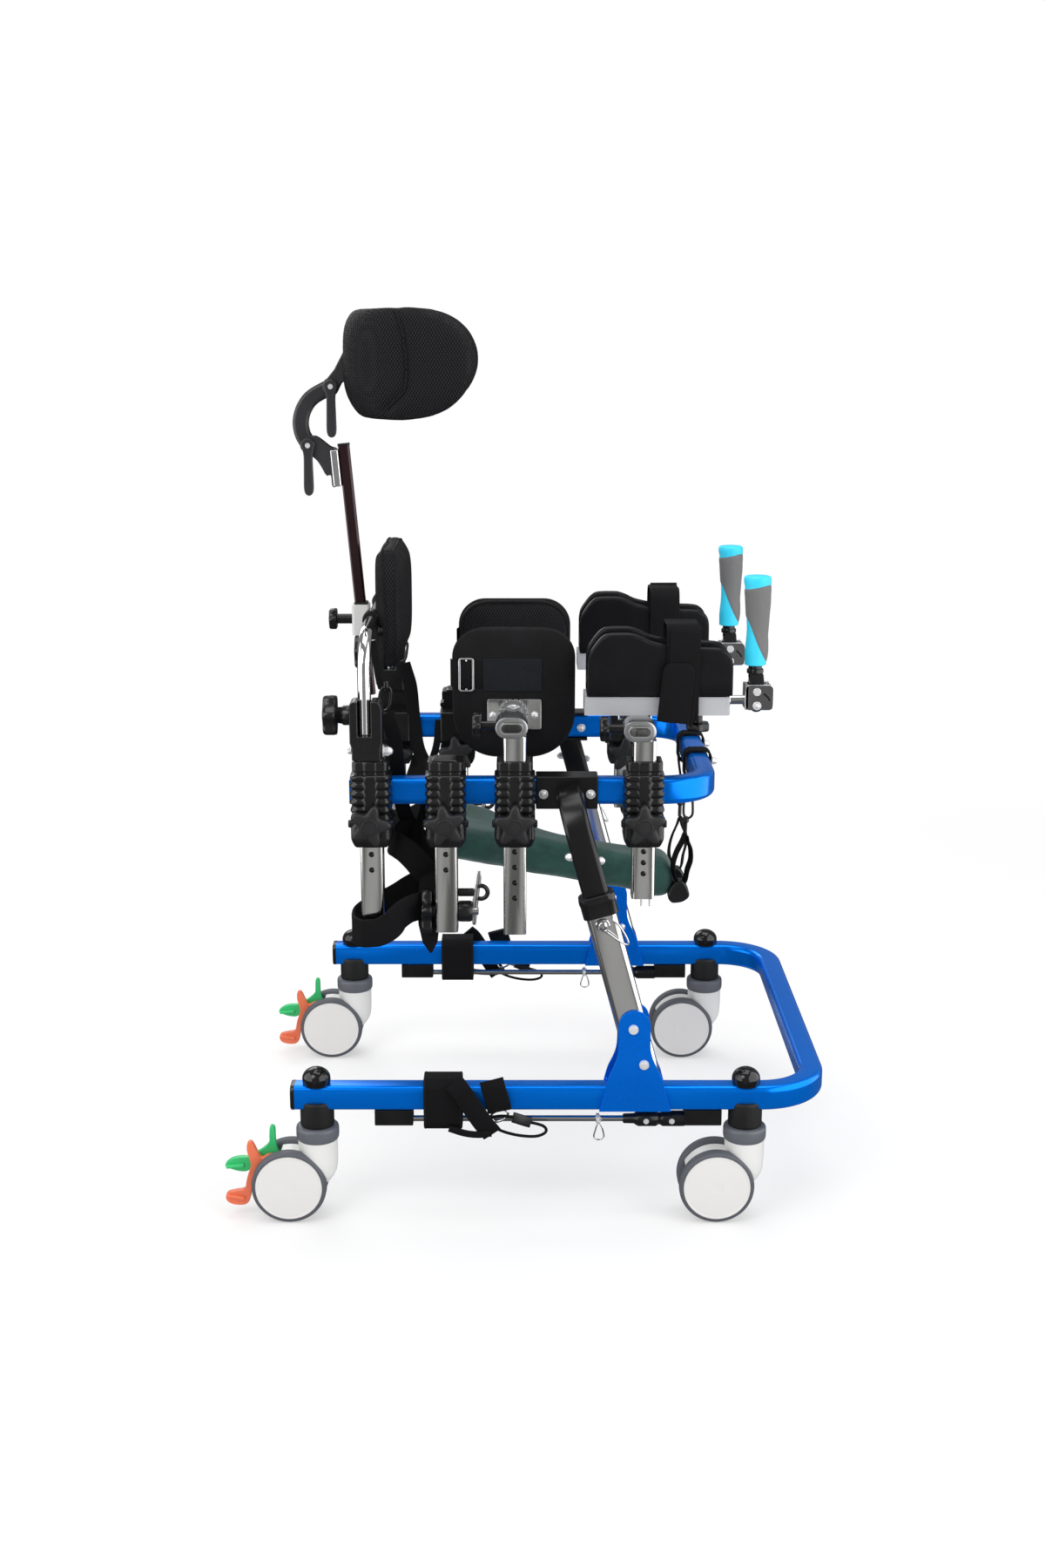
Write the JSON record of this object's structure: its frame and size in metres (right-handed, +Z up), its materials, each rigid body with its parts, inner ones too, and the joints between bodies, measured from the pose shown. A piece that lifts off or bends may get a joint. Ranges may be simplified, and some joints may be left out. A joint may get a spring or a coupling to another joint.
{
  "type": "pediatric walker",
  "caption": "Wheeled paediatric gait trainer frame with head, back, trunk and forearm supports, hand grips, saddle and braked twin-wheel casters.",
  "frame": {"origin": "middle of the walker's footprint on the floor", "axes": "+X forward, +Y to the walker's left, +Z up"},
  "size_m": [0.807, 0.64, 1.185],
  "materials": {
    "blue_frame": "anodised blue, glossy",
    "bright_metal": "bright drawn aluminium",
    "dark_metal": "zinc plated steel",
    "black_metal": "black powder coat",
    "black_plastic": "black moulded nylon",
    "forearm_foam": "black moulded foam with a smooth skin",
    "mesh_fabric": "black spacer mesh over foam",
    "webbing": "black woven webbing",
    "caster_shell": "off-white moulded shell",
    "tyre": "blue-grey thermoplastic tyre",
    "pedal_green": "green moulded plastic",
    "pedal_orange": "orange moulded plastic",
    "tray_metal": "grey anodised channel",
    "grip_rubber": "grey and cyan two-tone grip",
    "maroon_metal": "very dark maroon anodised bar",
    "saddle_fabric": "dark green saddle cover"
  },
  "bodies": {
    "base": {"base_frame": "blue_frame", "mast_tube_right": "bright_metal", "mast_tube_left": "bright_metal", "ankle_rod_right": "dark_metal", "ankle_rod_left": "dark_metal", "ankle_strap_right": "webbing", "ankle_strap_left": "webbing"},
    "caster_rear_right": {"caster_housing_rear_right": "caster_shell"},
    "wheels_rear_right": {"caster_wheels_rear_right": "tyre"},
    "lock_pedal_right": {"lock_pedal_rear_right": "pedal_green"},
    "brake_pedal_right": {"brake_pedal_rear_right": "pedal_orange"},
    "caster_rear_left": {"caster_housing_rear_left": "caster_shell"},
    "wheels_rear_left": {"caster_wheels_rear_left": "tyre"},
    "lock_pedal_left": {"lock_pedal_rear_left": "pedal_green"},
    "brake_pedal_left": {"brake_pedal_rear_left": "pedal_orange"},
    "caster_front_right": {"caster_housing_front_right": "caster_shell"},
    "wheels_front_right": {"caster_wheels_front_right": "tyre"},
    "caster_front_left": {"caster_housing_front_left": "caster_shell"},
    "wheels_front_left": {"caster_wheels_front_left": "tyre"},
    "upper": {"upper_frame": "blue_frame", "mast_arm_right": "black_metal", "mast_arm_left": "black_metal", "saddle": "saddle_fabric", "clamp_back_right": "black_plastic", "clamp_seat_right": "black_plastic", "clamp_trunk_right": "black_plastic", "clamp_arm_right": "black_plastic", "clamp_back_left": "black_plastic", "clamp_seat_left": "black_plastic", "clamp_trunk_left": "black_plastic", "clamp_arm_left": "black_plastic"},
    "back_lift": {"back_post_right": "bright_metal", "back_post_left": "bright_metal", "back_hoop": "bright_metal"},
    "back_rest": {"back_bracket": "black_plastic", "back_pad": "mesh_fabric"},
    "headrest_lift": {"headrest_post": "maroon_metal", "headrest_clamp": "dark_metal"},
    "headrest_arm": {"headrest_arm": "black_plastic"},
    "headrest_pad": {"headrest_pad": "mesh_fabric"},
    "lever_lower": {"headrest_lever_lower": "black_plastic"},
    "lever_upper": {"headrest_lever_upper": "black_plastic"},
    "seat_post_right": {"seat_post_right": "bright_metal"},
    "trunk_post_right": {"trunk_post_right": "bright_metal"},
    "trunk_arm_right": {"trunk_arm_right": "bright_metal", "trunk_pad_right": "mesh_fabric"},
    "arm_post_right": {"arm_post_right": "bright_metal"},
    "arm_tray_right": {"arm_tray_right": "tray_metal", "arm_pad_right": "forearm_foam"},
    "handle_right": {"handle_bracket_right": "dark_metal"},
    "grip_right": {"handle_grip_right": "grip_rubber"},
    "seat_post_left": {"seat_post_left": "bright_metal"},
    "trunk_post_left": {"trunk_post_left": "bright_metal"},
    "trunk_arm_left": {"trunk_arm_left": "bright_metal", "trunk_pad_left": "mesh_fabric"},
    "arm_post_left": {"arm_post_left": "bright_metal"},
    "arm_tray_left": {"arm_tray_left": "tray_metal", "arm_pad_left": "forearm_foam"},
    "handle_left": {"handle_bracket_left": "dark_metal"},
    "grip_left": {"handle_grip_left": "grip_rubber"}
  },
  "joints": [
    {"name": "swivel_rear_right", "type": "hinge", "parent": "base", "child": "caster_rear_right", "pos_m": [-0.2775, -0.29, 0.13], "axis": [0, 0, 1], "continuous": true},
    {"name": "wheel_spin_rear_right", "type": "hinge", "parent": "caster_rear_right", "child": "wheels_rear_right", "pos_m": [-0.3151, -0.29, 0.05], "axis": [0, 1, 0], "continuous": true},
    {"name": "lock_pedal_press_right", "type": "hinge", "parent": "caster_rear_right", "child": "lock_pedal_right", "pos_m": [-0.3395, -0.29, 0.078], "axis": [0, -1, 0], "range_deg": [0, 14]},
    {"name": "brake_pedal_press_right", "type": "hinge", "parent": "caster_rear_right", "child": "brake_pedal_right", "pos_m": [-0.3395, -0.29, 0.078], "axis": [0, -1, 0], "range_deg": [0, 14]},
    {"name": "swivel_rear_left", "type": "hinge", "parent": "base", "child": "caster_rear_left", "pos_m": [-0.2775, 0.29, 0.13], "axis": [0, 0, 1], "continuous": true},
    {"name": "wheel_spin_rear_left", "type": "hinge", "parent": "caster_rear_left", "child": "wheels_rear_left", "pos_m": [-0.3151, 0.29, 0.05], "axis": [0, 1, 0], "continuous": true},
    {"name": "lock_pedal_press_left", "type": "hinge", "parent": "caster_rear_left", "child": "lock_pedal_left", "pos_m": [-0.3395, 0.29, 0.078], "axis": [0, -1, 0], "range_deg": [0, 14]},
    {"name": "brake_pedal_press_left", "type": "hinge", "parent": "caster_rear_left", "child": "brake_pedal_left", "pos_m": [-0.3395, 0.29, 0.078], "axis": [0, -1, 0], "range_deg": [0, 14]},
    {"name": "swivel_front_right", "type": "hinge", "parent": "base", "child": "caster_front_right", "pos_m": [0.2915, -0.29, 0.13], "axis": [0, 0, 1], "continuous": true},
    {"name": "wheel_spin_front_right", "type": "hinge", "parent": "caster_front_right", "child": "wheels_front_right", "pos_m": [0.2539, -0.29, 0.05], "axis": [0, 1, 0], "continuous": true},
    {"name": "swivel_front_left", "type": "hinge", "parent": "base", "child": "caster_front_left", "pos_m": [0.2915, 0.29, 0.13], "axis": [0, 0, 1], "continuous": true},
    {"name": "wheel_spin_front_left", "type": "hinge", "parent": "caster_front_left", "child": "wheels_front_left", "pos_m": [0.2539, 0.29, 0.05], "axis": [0, 1, 0], "continuous": true},
    {"name": "mast_height", "type": "slide", "parent": "base", "child": "upper", "axis": [-0.2622, 0, 0.965], "range_m": [-0.06, 0.12]},
    {"name": "back_height", "type": "slide", "parent": "upper", "child": "back_lift", "axis": [0, 0, 1], "range_m": [0, 0.08]},
    {"name": "back_tilt", "type": "hinge", "parent": "back_lift", "child": "back_rest", "pos_m": [-0.208, 0, 0.775], "axis": [0, 1, 0], "range_deg": [-12, 12]},
    {"name": "headrest_height", "type": "slide", "parent": "back_rest", "child": "headrest_lift", "axis": [-0.0856, 0, 0.9963], "range_m": [-0.05, 0.08]},
    {"name": "headrest_arm_tilt", "type": "hinge", "parent": "headrest_lift", "child": "headrest_arm", "pos_m": [-0.297, 0, 1.003], "axis": [0, 1, 0], "range_deg": [-20, 20]},
    {"name": "headrest_pad_tilt", "type": "hinge", "parent": "headrest_arm", "child": "headrest_pad", "pos_m": [-0.2641, 0, 1.0815], "axis": [0, 1, 0], "range_deg": [-20, 20]},
    {"name": "lever_lower_turn", "type": "hinge", "parent": "headrest_lift", "child": "lever_lower", "pos_m": [-0.297, 0, 1.003], "axis": [0, 1, 0], "range_deg": [0, 60]},
    {"name": "lever_upper_turn", "type": "hinge", "parent": "headrest_pad", "child": "lever_upper", "pos_m": [-0.2641, 0, 1.0815], "axis": [0, 1, 0], "range_deg": [0, 45]},
    {"name": "seat_post_height_right", "type": "slide", "parent": "upper", "child": "seat_post_right", "axis": [0, 0, 1], "range_m": [0, 0.06]},
    {"name": "trunk_height_right", "type": "slide", "parent": "upper", "child": "trunk_post_right", "axis": [0, 0, 1], "range_m": [-0.015, 0.1]},
    {"name": "trunk_width_right", "type": "slide", "parent": "trunk_post_right", "child": "trunk_arm_right", "axis": [0, -1, 0], "range_m": [-0.03, 0.03]},
    {"name": "arm_height_right", "type": "slide", "parent": "upper", "child": "arm_post_right", "axis": [0, 0, 1], "range_m": [-0.012, 0.1]},
    {"name": "arm_tray_turn_right", "type": "hinge", "parent": "arm_post_right", "child": "arm_tray_right", "pos_m": [0.1475, -0.166, 0.66455], "axis": [0, 0, 1], "range_deg": [-10, 10]},
    {"name": "handle_reach_right", "type": "slide", "parent": "arm_tray_right", "child": "handle_right", "axis": [1, 0, 0], "range_m": [0, 0.06]},
    {"name": "grip_tilt_right", "type": "hinge", "parent": "handle_right", "child": "grip_right", "pos_m": [0.3048, -0.166, 0.6747], "axis": [0, 1, 0], "range_deg": [0, 40]},
    {"name": "seat_post_height_left", "type": "slide", "parent": "upper", "child": "seat_post_left", "axis": [0, 0, 1], "range_m": [0, 0.06]},
    {"name": "trunk_height_left", "type": "slide", "parent": "upper", "child": "trunk_post_left", "axis": [0, 0, 1], "range_m": [-0.015, 0.1]},
    {"name": "trunk_width_left", "type": "slide", "parent": "trunk_post_left", "child": "trunk_arm_left", "axis": [0, 1, 0], "range_m": [-0.03, 0.03]},
    {"name": "arm_height_left", "type": "slide", "parent": "upper", "child": "arm_post_left", "axis": [0, 0, 1], "range_m": [-0.012, 0.1]},
    {"name": "arm_tray_turn_left", "type": "hinge", "parent": "arm_post_left", "child": "arm_tray_left", "pos_m": [0.1475, 0.166, 0.66455], "axis": [0, 0, 1], "range_deg": [-10, 10]},
    {"name": "handle_reach_left", "type": "slide", "parent": "arm_tray_left", "child": "handle_left", "axis": [1, 0, 0], "range_m": [0, 0.06]},
    {"name": "grip_tilt_left", "type": "hinge", "parent": "handle_left", "child": "grip_left", "pos_m": [0.3048, 0.166, 0.6747], "axis": [0, 1, 0], "range_deg": [0, 40]}
  ]
}
